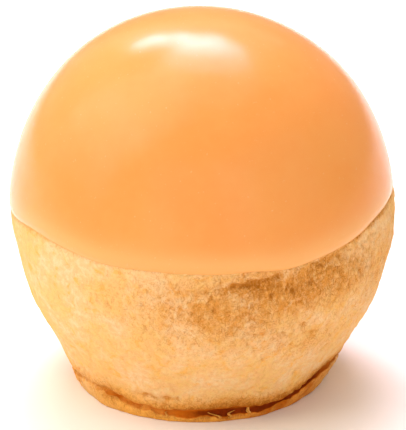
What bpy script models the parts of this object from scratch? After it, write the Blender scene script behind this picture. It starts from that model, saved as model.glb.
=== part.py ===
"""Profiterole: a baked choux bun that wears a set cap of caramel icing over its upper half.

The bun is one solid. It tapers to a flat underside with a thin browned foot, and steps in
under the icing. The icing is a shell with a rounded lip. Bearings run from the front (-Y)
towards +X, and heights from the surface that the bun stands on. Metres, +Z up.
"""

import math

import bmesh
import bpy
from mathutils import Vector, noise

MM = 0.001

# Driving dimensions of the whole outline
WIDEST_RADIUS = 24.0 * MM
WIDEST_HEIGHT = 22.9 * MM
CROWN_RISE = 24.4 * MM
CROWN_FULLNESS = 2.04
BELLY_DROP = 31.1 * MM
BELLY_FULLNESS = 1.736
BELLY_SWELL = 0.26 * MM
BELLY_SWELL_HEIGHT = 12.6 * MM
BELLY_SWELL_REACH = 3.0 * MM
FOOT_RADIUS = 16.37 * MM
FOOT_SLOPE = 0.333
FOOT_BLEND = 0.7 * MM

# Sideways sway of the centre line at the belly and the crown
BELLY_SWAY = 0.11 * MM
CROWN_SWAY = -0.25 * MM

# The foot isn't quite round: lobes as (count, size, bearing of a crest), fading upwards
FOOT_LOBES = (
    (1, 0.22 * MM, -40.0),
    (2, 0.25 * MM, -22.0),
    (3, 0.18 * MM, -11.0),
    (5, 0.11 * MM, 28.0),
)
FOOT_LOBES_REACH = 2.2 * MM

# Lower edge of the icing: bearings round the bun and the height there
EDGE_HEIGHTS = (
    (-160.0, 23.2 * MM),
    (-130.0, 22.5 * MM),
    (-106.0, 22.0 * MM),
    (-88.0, 22.0 * MM),
    (-75.0, 22.6 * MM),
    (-60.0, 23.35 * MM),
    (-46.0, 23.05 * MM),
    (-30.0, 22.55 * MM),
    (-12.0, 22.52 * MM),
    (5.0, 22.42 * MM),
    (15.0, 22.50 * MM),
    (25.0, 22.20 * MM),
    (36.0, 22.65 * MM),
    (45.0, 23.10 * MM),
    (54.0, 23.60 * MM),
    (63.0, 24.25 * MM),
    (75.0, 24.50 * MM),
    (90.0, 24.35 * MM),
    (115.0, 24.2 * MM),
    (145.0, 24.2 * MM),
    (175.0, 23.8 * MM),
)

# Icing: thickness at the edge and crown, how far it stands proud, and its lip
ICING_EDGE_THICKNESS = 1.4 * MM
ICING_CROWN_THICKNESS = 1.8 * MM
ICING_PROUD = 0.10 * MM
ICING_POOL = 0.15 * MM
ICING_POOL_BEARING = -10.0
ICING_POOL_RISE = 6.0 * MM
LIP_WIDTH = 0.75 * MM
LIP_HEIGHT = 1.5 * MM
ICING_GAP = 0.35 * MM
SHELF_DROP = 0.1 * MM

# Bun skin: it keeps its width up to the lip, sits back just under it, and is uneven all over
SHOULDER = 0.348 * MM
RECESS = 0.32 * MM
RECESS_SWING = 0.22 * MM
RECESS_BEARING = 40.0
RECESS_FADE = 2.5 * MM
LUMPS = (
    (9.0 * MM, 0.26 * MM),
    (4.2 * MM, 0.16 * MM),
)
LUMPS_CALMED = 0.65
LUMPS_CALM_FADE = 1.6 * MM

# Bulges of the skin: bearing, height, spread in degrees, reach upwards, size
BULGES = (
    (83.0, 20.3 * MM, 20.0, 4.4 * MM, 0.38 * MM),
    (-90.0, 16.8 * MM, 24.0, 2.0 * MM, -0.28 * MM),
    (-135.0, 15.0 * MM, 18.0, 3.5 * MM, 0.25 * MM),
)

# Folds in the skin: bearing and height of both ends, depth, and half width
FOLDS = (
    (-9.0, 20.1 * MM, 8.0, 20.4 * MM, 0.12 * MM, 0.45 * MM),
    (9.0, 20.7 * MM, 23.0, 21.5 * MM, 0.32 * MM, 0.50 * MM),
    (36.0, 22.0 * MM, 47.0, 22.5 * MM, 0.25 * MM, 0.90 * MM),
    (26.0, 20.0 * MM, 28.0, 19.0 * MM, 0.14 * MM, 0.45 * MM),
    (34.0, 19.8 * MM, 35.0, 18.8 * MM, 0.14 * MM, 0.45 * MM),
    (-26.0, 3.6 * MM, -10.0, 3.3 * MM, 0.30 * MM, 0.45 * MM),
    (104.0, 22.4 * MM, 131.0, 21.2 * MM, 0.45 * MM, 0.65 * MM),
    (142.0, 11.0 * MM, 158.0, 14.5 * MM, 0.30 * MM, 0.80 * MM),
    (170.0, 21.6 * MM, 196.0, 21.2 * MM, 0.45 * MM, 0.65 * MM),
    (214.0, 8.2 * MM, 238.0, 6.9 * MM, 0.30 * MM, 0.80 * MM),
    (222.0, 20.2 * MM, 250.0, 19.6 * MM, 0.35 * MM, 0.65 * MM),
    (248.0, 13.6 * MM, 263.0, 11.9 * MM, 0.22 * MM, 0.80 * MM),
)

# Browned foot: a thin skirt below a crevice that rises where the edge has curled up
CREVICE_HEIGHT = 1.05 * MM
CREVICE_DEPTH = 0.50 * MM
CREVICE_SHALLOWS = (
    (-84.0, 17.0, 0.75),
    (-50.0, 12.0, 0.40),
    (-165.0, 25.0, 0.60),
)
CREVICE_MOUTH = 0.40 * MM
CREVICE_RISES = (
    (9.0, 12.0, 0.50 * MM),
    (68.0, 16.5, 3.1 * MM),
    (-50.0, 18.0, 1.55 * MM),
    (-128.0, 20.0, 1.0 * MM),
    (152.0, 22.0, 1.5 * MM),
)
CREVICE_ROLL = 0.15 * MM
SKIRT_FLARE = 0.02 * MM
SKIRT_RAGGED = 0.20 * MM
SKIRT_RAGGED_SPAN = 2.6 * MM

# Skirt: share of the crevice's height, then how far it is set in there, from the rim upwards
SKIRT_PROFILE = ((0.0, 0.30 * MM), (0.30, 0.0), (0.72, 0.04 * MM))

# Mesh: columns round the visible and the hidden skins, and rows up each stretch
COLUMNS = 96
HIDDEN_COLUMNS = 48
BELLY_ROWS = 20
BELLY_CROWDING = 0.45
CROWN_ROWS = 17
HIDDEN_ROWS = 8
UNDERSIDE_SHARES = (0.4, 0.8)
CROWN_THINNING = ((0.93, 8), (0.85, 4), (0.65, 2))
LIP_TURNS = (22.0, 45.0, 67.0, 90.0, 115.0, 140.0, 165.0)
SHELF_TURNS = (90.0, 115.0, 140.0, 165.0)
SHARP_ANGLE = math.radians(50.0)

CHOUX_COLOUR = (0.79, 0.45, 0.15, 1.0)
ICING_COLOUR = (0.77, 0.29, 0.055, 1.0)


def smooth_step(value):
    """Rise smoothly from 0 to 1 as value goes from 0 to 1."""
    value = min(max(value, 0.0), 1.0)
    return value * value * (3.0 - 2.0 * value)


def bell(distance, width):
    """A smooth bump of height 1 that falls off over width."""
    return math.exp(-0.5 * (distance / width) ** 2)


def turn_between(bearing, other):
    """Signed turn from one bearing to another, in degrees from -180 to 180."""
    return (other - bearing + 180.0) % 360.0 - 180.0


def outline_radius(height):
    """Radius of the smooth outline at a height: crown, belly and steep foot."""
    if height >= WIDEST_HEIGHT:
        rise = min((height - WIDEST_HEIGHT) / CROWN_RISE, 1.0)
        return WIDEST_RADIUS * (1.0 - rise ** CROWN_FULLNESS) ** (1.0 / CROWN_FULLNESS)
    drop = (WIDEST_HEIGHT - height) / BELLY_DROP
    belly = WIDEST_RADIUS * (1.0 - drop ** BELLY_FULLNESS) ** (1.0 / BELLY_FULLNESS)
    foot = FOOT_RADIUS + FOOT_SLOPE * height
    swell = BELLY_SWELL * bell(height - BELLY_SWELL_HEIGHT, BELLY_SWELL_REACH)
    return 0.5 * (belly + foot + math.hypot(belly - foot, FOOT_BLEND)) + swell


def sway(height):
    """Sideways offset of the centre line at a height."""
    belly = BELLY_SWAY * bell(height - 12.0 * MM, 4.0 * MM)
    crown = CROWN_SWAY * smooth_step((height - 36.0 * MM) / (11.0 * MM))
    return belly + crown


def place(bearing, radius, height):
    """The point at a bearing, a distance from the centre line and a height."""
    angle = math.radians(bearing)
    return Vector((radius * math.sin(angle) + sway(height), -radius * math.cos(angle), height))


def foot_lobes(bearing, height):
    """How far the foot stands outside a true circle."""
    waves = (size * math.cos(math.radians(lobes * (bearing - crest))) for lobes, size, crest in FOOT_LOBES)
    return sum(waves) * math.exp(-(height / FOOT_LOBES_REACH) ** 2)


def icing_edge(bearing):
    """Height of the lower edge of the icing: a smooth curve through the listed heights."""
    count = len(EDGE_HEIGHTS)
    index = min(range(count), key=lambda place: (bearing - EDGE_HEIGHTS[place][0]) % 360.0)
    before, start, end, after = (EDGE_HEIGHTS[(index + step) % count] for step in (-1, 0, 1, 2))
    span = (end[0] - start[0]) % 360.0
    leaving = (end[1] - before[1]) / ((end[0] - before[0]) % 360.0) * span
    arriving = (after[1] - start[1]) / ((after[0] - start[0]) % 360.0) * span
    share = (bearing - start[0]) % 360.0 / span
    rise = smooth_step(share)
    bend = share * (1.0 - share) * (leaving * (1.0 - share) - arriving * share)
    return start[1] + (end[1] - start[1]) * rise + bend


def crevice_height(bearing):
    """Height of the crevice between the browned foot and the belly."""
    rises = (size * bell(turn_between(bearing, centre), width) for centre, width, size in CREVICE_RISES)
    return CREVICE_HEIGHT + sum(rises)


def crevice_depth(bearing):
    """Depth of the crevice, which closes up in places."""
    closed = sum(
        share * bell(turn_between(bearing, centre), width) for centre, width, share in CREVICE_SHALLOWS
    )
    return CREVICE_DEPTH * (1.0 - closed)


def fold_depth(bearing, height, fold):
    """How deep one fold cuts at a place on the skin."""
    start, start_height, end, end_height, depth, half_width = fold
    scale = math.radians(1.0) * outline_radius(0.5 * (start_height + end_height))
    along = Vector(((end - start) * scale, end_height - start_height))
    here = Vector((turn_between(start, bearing) * scale, height - start_height))
    share = min(max(here.dot(along) / along.length_squared, 0.0), 1.0)
    return depth * bell((here - share * along).length, half_width)


def skin_relief(bearing, height):
    """Outward offset of the bun's skin: bulges and lumps less folds and the recess under the lip."""
    point = place(bearing, outline_radius(height), height)
    lumps = sum(size * noise.noise(point / span) for span, size in LUMPS)
    folds = sum(fold_depth(bearing, height, fold) for fold in FOLDS)
    bulges = sum(
        size * bell(turn_between(bearing, centre), spread) * bell(height - level, reach)
        for centre, level, spread, reach, size in BULGES
    )
    recess = RECESS + RECESS_SWING * math.cos(math.radians(bearing - RECESS_BEARING))
    below_lip = max(icing_edge(bearing) - height, 0.0)
    lumps *= 1.0 - LUMPS_CALMED * bell(below_lip, LUMPS_CALM_FADE)
    shoulder = SHOULDER if height >= WIDEST_HEIGHT else 0.0
    under_lip = shoulder - recess * bell(below_lip, RECESS_FADE)
    return foot_lobes(bearing, height) + bulges + lumps - folds + under_lip


def icing_proud(bearing, height):
    """How far the icing stands outside the outline: most at its lip, where it pooled."""
    pool = ICING_PROUD + ICING_POOL * math.cos(math.radians(bearing - ICING_POOL_BEARING))
    above_lip = max(height - icing_edge(bearing) - LIP_HEIGHT, 0.0)
    return pool * (1.0 - smooth_step(above_lip / ICING_POOL_RISE))


def bearings(columns):
    """Evenly spaced bearings, in degrees."""
    return [360.0 * column / columns for column in range(columns)]


def crown_point(bearing, share, inset):
    """A point on the crown, from just above the lip (share 0) to the top (share 1)."""
    lowest = (icing_edge(bearing) + LIP_HEIGHT - WIDEST_HEIGHT) / CROWN_RISE
    start = math.asin(lowest ** (CROWN_FULLNESS / 2.0))
    angle = start + (0.5 * math.pi - start) * share
    height = WIDEST_HEIGHT + (CROWN_RISE - inset) * math.sin(angle) ** (2.0 / CROWN_FULLNESS)
    radius = (WIDEST_RADIUS - inset) * max(math.cos(angle), 0.0) ** (2.0 / CROWN_FULLNESS)
    return radius, height


def lip_point(bearing, turn, growth):
    """A point round the lip: 0 degrees faces out, 90 down and 180 in towards the bun."""
    top = icing_edge(bearing) + LIP_HEIGHT
    centre = outline_radius(top) + icing_proud(bearing, top) - LIP_WIDTH
    angle = math.radians(turn)
    radius = centre + (LIP_WIDTH + growth) * math.cos(angle)
    height = top - (LIP_HEIGHT + growth) * math.sin(angle)
    return place(bearing, radius, height)


def icing_thickness(share):
    """Icing thickness from the lip (share 0) to the crown (share 1)."""
    return ICING_EDGE_THICKNESS + (ICING_CROWN_THICKNESS - ICING_EDGE_THICKNESS) * share


def hidden_ring(share, gap):
    """A ring of the dome under the icing, a gap below the icing's inner face."""
    ring = []
    for bearing in bearings(HIDDEN_COLUMNS):
        radius, height = crown_point(bearing, share, icing_thickness(share) + gap)
        ring.append(place(bearing, radius, height))
    return ring


def thin_out(ring, columns):
    """Keep every second point while the ring has more columns than asked for."""
    while len(ring) > columns:
        ring = ring[::2]
    return ring


def crown_columns(share, most):
    """Fewer columns towards the top, where the rings are small."""
    for limit, divisor in CROWN_THINNING:
        if share > limit:
            return most // divisor
    return most


def foot_rings():
    """The flat underside, the ragged skirt and the crevice above it."""
    rings = []
    for share in UNDERSIDE_SHARES:
        rings.append([place(bearing, share * FOOT_RADIUS, 0.0) for bearing in bearings(HIDDEN_COLUMNS)])
    for level, inset in SKIRT_PROFILE:
        ring = []
        for bearing in bearings(COLUMNS):
            height = level * crevice_height(bearing)
            ragged = noise.noise(place(bearing, FOOT_RADIUS, 0.0) / SKIRT_RAGGED_SPAN)
            radius = outline_radius(height) + foot_lobes(bearing, height)
            radius += SKIRT_FLARE + SKIRT_RAGGED * ragged - inset
            ring.append(place(bearing, radius, height))
        rings.append(ring)
    crevice = []
    for bearing in bearings(COLUMNS):
        height = crevice_height(bearing)
        radius = outline_radius(height) + foot_lobes(bearing, height) - crevice_depth(bearing)
        crevice.append(place(bearing, radius, height))
    return rings + [crevice]


def belly_rings():
    """The bun's visible skin, from the crevice up to just below the lip."""
    rings = []
    for row in range(BELLY_ROWS + 1):
        even = row / BELLY_ROWS
        share = even - BELLY_CROWDING * math.sin(math.tau * even) / math.tau
        ring = []
        for bearing in bearings(COLUMNS):
            low = crevice_height(bearing) + CREVICE_MOUTH
            high = icing_edge(bearing) - ICING_GAP - SHELF_DROP
            height = low + (high - low) * share
            radius = outline_radius(height) + skin_relief(bearing, height)
            if row == 0:
                radius -= CREVICE_ROLL
            ring.append(place(bearing, radius, height))
        rings.append(ring)
    return rings


def bun_rings():
    """All rings of the bun, from the underside to the hidden crown."""
    rings = foot_rings() + belly_rings()
    for turn in SHELF_TURNS:
        rings.append([lip_point(bearing, turn, ICING_GAP) for bearing in bearings(COLUMNS)])
    for row in range(HIDDEN_ROWS):
        share = row / HIDDEN_ROWS
        rings.append(thin_out(hidden_ring(share, ICING_GAP), crown_columns(share, HIDDEN_COLUMNS)))
    return rings


def icing_rings():
    """All rings of the icing, from its inner crown, round the lip, to its outer crown."""
    rings = []
    for row in reversed(range(HIDDEN_ROWS)):
        share = row / HIDDEN_ROWS
        rings.append(thin_out(hidden_ring(share, 0.0), crown_columns(share, HIDDEN_COLUMNS)))
    for turn in reversed(LIP_TURNS):
        rings.append([lip_point(bearing, turn, 0.0) for bearing in bearings(COLUMNS)])
    for row in range(CROWN_ROWS):
        share = row / CROWN_ROWS
        ring = []
        for bearing in bearings(COLUMNS):
            radius, height = crown_point(bearing, share, 0.0)
            ring.append(place(bearing, radius + icing_proud(bearing, height), height))
        rings.append(thin_out(ring, crown_columns(share, COLUMNS)))
    return rings


def stitch(mesh, near, far):
    """Join two rings with triangles. One ring may have twice as many points as the other."""
    count = min(len(near), len(far))
    for column in range(count):
        after = (column + 1) % count
        if len(near) == len(far):
            mesh.faces.new((near[column], near[after], far[after]))
            mesh.faces.new((near[column], far[after], far[column]))
        elif len(near) > len(far):
            middle = near[2 * column + 1]
            mesh.faces.new((near[2 * column], middle, far[column]))
            mesh.faces.new((middle, far[after], far[column]))
            mesh.faces.new((middle, near[2 * after], far[after]))
        else:
            middle = far[2 * column + 1]
            mesh.faces.new((near[column], middle, far[2 * column]))
            mesh.faces.new((near[column], near[after], middle))
            mesh.faces.new((near[after], far[2 * after], middle))


def close_with_point(mesh, ring, height, opens_upwards):
    """Close a ring with a fan to its centre at a height."""
    centre = mesh.verts.new((sway(height), 0.0, height))
    for column, vertex in enumerate(ring):
        after = ring[(column + 1) % len(ring)]
        mesh.faces.new((vertex, after, centre) if opens_upwards else (after, vertex, centre))


def skin_object(name, rings, bottom, top, material):
    """Make one closed body from rings in order, closed at both ends."""
    mesh = bmesh.new()
    loops = [[mesh.verts.new(point) for point in ring] for ring in rings]
    close_with_point(mesh, loops[0], bottom, False)
    for near, far in zip(loops, loops[1:]):
        stitch(mesh, near, far)
    close_with_point(mesh, loops[-1], top, True)
    data = bpy.data.meshes.new(name)
    mesh.to_mesh(data)
    mesh.free()
    data.materials.append(material)
    data.shade_smooth()
    data.set_sharp_from_angle(angle=SHARP_ANGLE)
    body = bpy.data.objects.new(name, data)
    bpy.context.scene.collection.objects.link(body)
    return body


def food_material(name, colour, roughness):
    """A plain opaque food surface."""
    material = bpy.data.materials.new(name)
    material.use_nodes = True
    shader = material.node_tree.nodes["Principled BSDF"]
    shader.inputs["Base Color"].default_value = colour
    shader.inputs["Roughness"].default_value = roughness
    shader.inputs["Metallic"].default_value = 0.0
    return material


def choux_bun():
    """The baked bun, solid as an uncut one is, with a dome that the icing covers."""
    crown = WIDEST_HEIGHT + CROWN_RISE - ICING_CROWN_THICKNESS - ICING_GAP
    choux = food_material("baked_choux", CHOUX_COLOUR, 0.75)
    return skin_object("choux_bun", bun_rings(), 0.0, crown, choux)


def icing_cap():
    """The icing that the bun was dipped in, set to a smooth shell with a round lip."""
    crown = WIDEST_HEIGHT + CROWN_RISE
    icing = food_material("caramel_icing", ICING_COLOUR, 0.28)
    return skin_object("icing_cap", icing_rings(), crown - ICING_CROWN_THICKNESS, crown, icing)


for leftover in list(bpy.data.objects):
    bpy.data.objects.remove(leftover, do_unlink=True)
choux_bun()
icing_cap()
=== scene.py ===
import math
import random

import bpy
import numpy as np
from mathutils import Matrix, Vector, noise


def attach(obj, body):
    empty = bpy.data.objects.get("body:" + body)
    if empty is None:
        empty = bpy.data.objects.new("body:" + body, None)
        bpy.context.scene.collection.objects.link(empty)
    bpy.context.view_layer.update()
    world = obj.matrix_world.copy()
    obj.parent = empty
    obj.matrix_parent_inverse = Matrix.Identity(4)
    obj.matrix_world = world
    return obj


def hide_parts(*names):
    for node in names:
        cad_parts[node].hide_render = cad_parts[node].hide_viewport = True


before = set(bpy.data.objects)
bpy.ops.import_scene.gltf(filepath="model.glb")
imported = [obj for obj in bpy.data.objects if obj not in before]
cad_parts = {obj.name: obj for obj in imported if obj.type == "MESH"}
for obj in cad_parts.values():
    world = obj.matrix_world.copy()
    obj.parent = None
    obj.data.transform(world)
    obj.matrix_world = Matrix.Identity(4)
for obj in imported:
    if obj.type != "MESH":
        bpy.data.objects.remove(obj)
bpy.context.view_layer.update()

# Choux bun
# A ball of choux paste baked on a tray, in one piece, its upper half hidden in the icing. The dry
# golden crust is wrinkled and pitted where it blistered, and tapers to a thin browned foot. Curls
# of torn crust stand in the crevice above the foot.

MM = 0.001

# Outline: a full crown and belly, and below them the nearly straight side of the foot
WIDEST_RADIUS = 24.0 * MM
WIDEST_HEIGHT = 22.9 * MM
CROWN_RISE = 24.4 * MM
CROWN_FULLNESS = 2.04
BELLY_DROP = 31.1 * MM
BELLY_FULLNESS = 1.736
BELLY_SWELL = 0.26 * MM
BELLY_SWELL_HEIGHT = 12.6 * MM
BELLY_SWELL_REACH = 3.0 * MM
FOOT_RADIUS = 16.37 * MM
FOOT_SLOPE = 0.333
FOOT_BLEND = 0.7 * MM

# How far the centre line sways sideways, at the belly and towards the top
BELLY_SWAY = 0.11 * MM
BELLY_SWAY_HEIGHT = 12.0 * MM
BELLY_SWAY_REACH = 4.0 * MM
CROWN_SWAY = -0.25 * MM
CROWN_SWAY_START = 36.0 * MM
CROWN_SWAY_RISE = 11.0 * MM

# Lobes of the foot: how many round it, size, and bearing of the first
FOOT_LOBES = (
    (1, 0.22 * MM, -40.0),
    (2, 0.25 * MM, -22.0),
    (3, 0.18 * MM, -11.0),
    (5, 0.11 * MM, 28.0),
)
FOOT_LOBES_REACH = 2.2 * MM

# Grid of the bun, and how far the belly runs up behind the lip and the dome is set in
BUN_COLUMNS = 672
BELLY_ROWS = 122
BELLY_ROWS_CROWDED = 0.35
BELLY_TUCK = 0.7 * MM
BUN_DOME_ROWS = 9
DOME_INSET = 1.75 * MM
DOME_STEP = 0.1 * MM

# Rings of the underside: share of the foot's radius, and one column in how many
UNDERSIDE_RINGS = (
    (0.35, 4),
    (0.70, 4),
    (0.90, 4),
    (0.95, 2),
)

# Lower edge of the icing: bearing in degrees to the right of the front, and height
EDGE_HEIGHTS = (
    (-160.0, 23.2 * MM),
    (-130.0, 22.5 * MM),
    (-106.0, 22.0 * MM),
    (-88.0, 22.0 * MM),
    (-75.0, 22.6 * MM),
    (-60.0, 23.35 * MM),
    (-46.0, 23.05 * MM),
    (-30.0, 22.55 * MM),
    (-12.0, 22.52 * MM),
    (5.0, 22.42 * MM),
    (15.0, 22.50 * MM),
    (25.0, 22.20 * MM),
    (36.0, 22.65 * MM),
    (45.0, 23.10 * MM),
    (54.0, 23.60 * MM),
    (63.0, 24.25 * MM),
    (75.0, 24.50 * MM),
    (90.0, 24.35 * MM),
    (115.0, 24.2 * MM),
    (145.0, 24.2 * MM),
    (175.0, 23.8 * MM),
)
LIP_HEIGHT = 1.5 * MM

# The crust stands proud just above its widest level, steps in behind the lip, and is hollowed
# below it, most at one bearing
SHOULDER = 0.348 * MM
SHOULDER_FADE = 1.0 * MM
SHOULDER_LOW = 0.1 * MM
RECESS = 0.32 * MM
RECESS_SWING = 0.22 * MM
RECESS_BEARING = 40.0
RECESS_FADE = 2.5 * MM

# Lumps: span, size and shift. Bulges: bearing, height, spread in degrees, reach upwards, size
LUMPS = (
    (9.0 * MM, 0.26 * MM, 0.0),
    (4.2 * MM, 0.16 * MM, 0.0),
)
LUMPS_CALMED = 0.65
LUMPS_CALM_FADE = 1.6 * MM
BULGES = (
    (83.0, 20.3 * MM, 20.0, 4.4 * MM, 0.38 * MM),
    (-90.0, 16.8 * MM, 24.0, 2.0 * MM, -0.28 * MM),
    (-135.0, 15.0 * MM, 18.0, 3.5 * MM, 0.25 * MM),
)

# Folds in the crust: bearing and height of both ends, depth and half width
FOLDS = (
    (-9.0, 20.1 * MM, 8.0, 20.4 * MM, 0.12 * MM, 0.45 * MM),
    (9.0, 20.7 * MM, 23.0, 21.5 * MM, 0.32 * MM, 0.50 * MM),
    (36.0, 22.0 * MM, 47.0, 22.5 * MM, 0.25 * MM, 0.90 * MM),
    (26.0, 20.0 * MM, 28.0, 19.0 * MM, 0.14 * MM, 0.45 * MM),
    (34.0, 19.8 * MM, 35.0, 18.8 * MM, 0.14 * MM, 0.45 * MM),
    (-26.0, 3.6 * MM, -10.0, 3.3 * MM, 0.30 * MM, 0.45 * MM),
    (104.0, 22.4 * MM, 131.0, 21.2 * MM, 0.45 * MM, 0.65 * MM),
    (142.0, 11.0 * MM, 158.0, 14.5 * MM, 0.30 * MM, 0.80 * MM),
    (170.0, 21.6 * MM, 196.0, 21.2 * MM, 0.45 * MM, 0.65 * MM),
    (214.0, 8.2 * MM, 238.0, 6.9 * MM, 0.30 * MM, 0.80 * MM),
    (222.0, 20.2 * MM, 250.0, 19.6 * MM, 0.35 * MM, 0.65 * MM),
    (248.0, 13.6 * MM, 263.0, 11.9 * MM, 0.22 * MM, 0.80 * MM),
)

# Crevice above the foot, how much of it the belly's edge rolls into, where it closes up (bearing,
# spread, share), and where it rises higher (bearing, spread, rise)
CREVICE_HEIGHT = 1.05 * MM
CREVICE_DEPTH = 0.50 * MM
CREVICE_MOUTH = 0.55 * MM
BELLY_ROLL_IN = 0.95
CREVICE_SHALLOWS = (
    (-84.0, 17.0, 0.75),
    (-50.0, 12.0, 0.40),
    (-165.0, 25.0, 0.60),
)
CREVICE_RISES = (
    (9.0, 12.0, 0.50 * MM),
    (68.0, 16.5, 3.1 * MM),
    (-50.0, 18.0, 1.55 * MM),
    (-128.0, 20.0, 1.0 * MM),
    (152.0, 22.0, 1.5 * MM),
)

# The skirt is the thin torn rim of the foot below the crevice: how far it flares, and how ragged
# it is round the floor
SKIRT_FLARE = 0.02 * MM
SKIRT_RAGGED = 0.20 * MM
SKIRT_RAGGED_SPAN = 2.6 * MM

# Torn lower edge of the belly, torn top of the skirt as a share of its height, and crumbly skirt:
# span, size and shift of each unevenness
BELLY_EDGE_TORN = (
    (1.9 * MM, 0.42 * MM, 5.1),
    (0.65 * MM, 0.24 * MM, 2.9),
)
SKIRT_EDGE_TORN = (
    (1.7 * MM, 0.30, 8.3),
    (0.6 * MM, 0.14, 6.6),
)
SKIRT_CRUMBLY = (
    (1.0 * MM, 0.20 * MM, 2.7),
    (0.45 * MM, 0.13 * MM, 9.2),
)

# How far up the crevice the skirt reaches: usual share, then bearing, spread and extra share
SKIRT_REACH = 0.54
SKIRT_REACH_LIMITS = (0.15, 0.9)
SKIRT_REACHES = (
    (-64.0, 15.0, 0.32),
    (-44.0, 8.0, 0.18),
    (-27.0, 6.0, 0.20),
    (50.0, 12.0, 0.12),
    (72.0, 16.0, 0.32),
    (-120.0, 30.0, 0.25),
    (100.0, 30.0, 0.20),
    (170.0, 25.0, 0.30),
)


def smooth_step(value):
    """Rise smoothly from 0 to 1 as value goes from 0 to 1."""
    value = np.clip(value, 0.0, 1.0)
    return value * value * (3.0 - 2.0 * value)


def bell(distance, width):
    """A smooth bump of height 1 that falls off over width."""
    return np.exp(-0.5 * (distance / width) ** 2)


def turn_between(bearing, other):
    """Signed turn from one bearing to another, in degrees from -180 to 180."""
    return (other - bearing + 180.0) % 360.0 - 180.0


def outline_radius(height):
    """Radius of the smooth outline at a height: crown, belly and steep foot."""
    rise = np.clip((height - WIDEST_HEIGHT) / CROWN_RISE, 0.0, 1.0)
    crown = WIDEST_RADIUS * (1.0 - rise ** CROWN_FULLNESS) ** (1.0 / CROWN_FULLNESS)
    drop = np.clip((WIDEST_HEIGHT - height) / BELLY_DROP, 0.0, 1.0)
    belly = WIDEST_RADIUS * (1.0 - drop ** BELLY_FULLNESS) ** (1.0 / BELLY_FULLNESS)
    foot = FOOT_RADIUS + FOOT_SLOPE * height
    swell = BELLY_SWELL * bell(height - BELLY_SWELL_HEIGHT, BELLY_SWELL_REACH)
    below = 0.5 * (belly + foot + np.hypot(belly - foot, FOOT_BLEND)) + swell
    return np.where(height >= WIDEST_HEIGHT, crown, below)


def sway(height):
    """Sideways offset of the centre line at a height."""
    belly = BELLY_SWAY * bell(height - BELLY_SWAY_HEIGHT, BELLY_SWAY_REACH)
    crown = CROWN_SWAY * smooth_step((height - CROWN_SWAY_START) / CROWN_SWAY_RISE)
    return belly + crown


def place(bearing, radius, height):
    """Points at bearings (degrees from the front), distances from the centre line and heights."""
    angle = np.radians(bearing)
    across = radius * np.sin(angle) + sway(height)
    return np.stack(np.broadcast_arrays(across, -radius * np.cos(angle), height), axis=-1)


def foot_lobes(bearing, height):
    """How far the foot stands outside a true circle."""
    waves = sum(
        size * np.cos(np.radians(lobes * (bearing - crest))) for lobes, size, crest in FOOT_LOBES
    )
    return waves * np.exp(-(height / FOOT_LOBES_REACH) ** 2)


def icing_edge(bearing):
    """Height of the lower edge of the icing: a smooth curve through the listed heights."""
    listed = np.array(EDGE_HEIGHTS)
    index = np.searchsorted(listed[:, 0], turn_between(0.0, bearing), side="right") - 1
    before, start, end, after = (listed[(index + step) % len(listed)] for step in (-1, 0, 1, 2))
    span = (end[..., 0] - start[..., 0]) % 360.0
    leaving = (end[..., 1] - before[..., 1]) / ((end[..., 0] - before[..., 0]) % 360.0) * span
    arriving = (after[..., 1] - start[..., 1]) / ((after[..., 0] - start[..., 0]) % 360.0) * span
    share = (bearing - start[..., 0]) % 360.0 / span
    bend = share * (1.0 - share) * (leaving * (1.0 - share) - arriving * share)
    return start[..., 1] + (end[..., 1] - start[..., 1]) * smooth_step(share) + bend


def around_foot(bearing, places):
    """Sum of the strengths of places round the foot, each of a bearing, a spread and a strength."""
    return sum(
        strength * bell(turn_between(bearing, centre), spread) for centre, spread, strength in places
    )


def crevice_height(bearing):
    """Height of the crevice between the browned foot and the belly."""
    return CREVICE_HEIGHT + around_foot(bearing, CREVICE_RISES)


def crevice_depth(bearing):
    """Depth of the crevice, which closes up in places."""
    return CREVICE_DEPTH * (1.0 - around_foot(bearing, CREVICE_SHALLOWS))


def noise_at(points, span, shift=0.0):
    """Smooth noise, about -1 to 1, at each point, with features of a span's size."""
    spots = (points / span + shift).reshape(-1, 3).tolist()
    return np.array([noise.noise(spot) for spot in spots]).reshape(points.shape[:-1])


def unevenness(points, waves):
    """Sum of noises, each given by its span, its size and its shift."""
    return sum(size * noise_at(points, span, shift) for span, size, shift in waves)


def crease_distance(bearing, height, crease):
    """Distance over the crust to a short crease from one bearing and height to another."""
    start, start_height, end, end_height = crease[:4]
    scale = math.radians(1.0) * float(outline_radius(0.5 * (start_height + end_height)))
    along_x, along_z = (end - start) * scale, end_height - start_height
    here_x, here_z = turn_between(start, bearing) * scale, height - start_height
    share = (here_x * along_x + here_z * along_z) / (along_x ** 2 + along_z ** 2)
    share = np.clip(share, 0.0, 1.0)
    return np.hypot(here_x - share * along_x, here_z - share * along_z)


def even_bearings(columns):
    """Evenly spaced bearings, in degrees."""
    return np.arange(columns) * 360.0 / columns


def crust_shape(bearing, height):
    """Radius of the crust: the outline with bulges, broad lumps and the step in under the lip."""
    radius = outline_radius(height)
    points = place(bearing, radius, height)
    lumps = unevenness(points, LUMPS)
    recess = RECESS + RECESS_SWING * np.cos(np.radians(bearing - RECESS_BEARING))
    below_lip = np.maximum(icing_edge(bearing) - height, 0.0)
    lumps = lumps * (1.0 - LUMPS_CALMED * bell(below_lip, LUMPS_CALM_FADE))
    bulges = sum(
        size * bell(turn_between(bearing, centre), spread) * bell(height - level, reach)
        for centre, level, spread, reach, size in BULGES
    )
    into_icing = smooth_step((height - icing_edge(bearing) + SHOULDER_LOW) / SHOULDER_FADE)
    shoulder = SHOULDER * (np.where(height >= WIDEST_HEIGHT, 1.0, 0.0) - into_icing)
    radius = radius + shoulder - recess * bell(below_lip, RECESS_FADE)
    return radius + foot_lobes(bearing, height) + bulges + lumps


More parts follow.
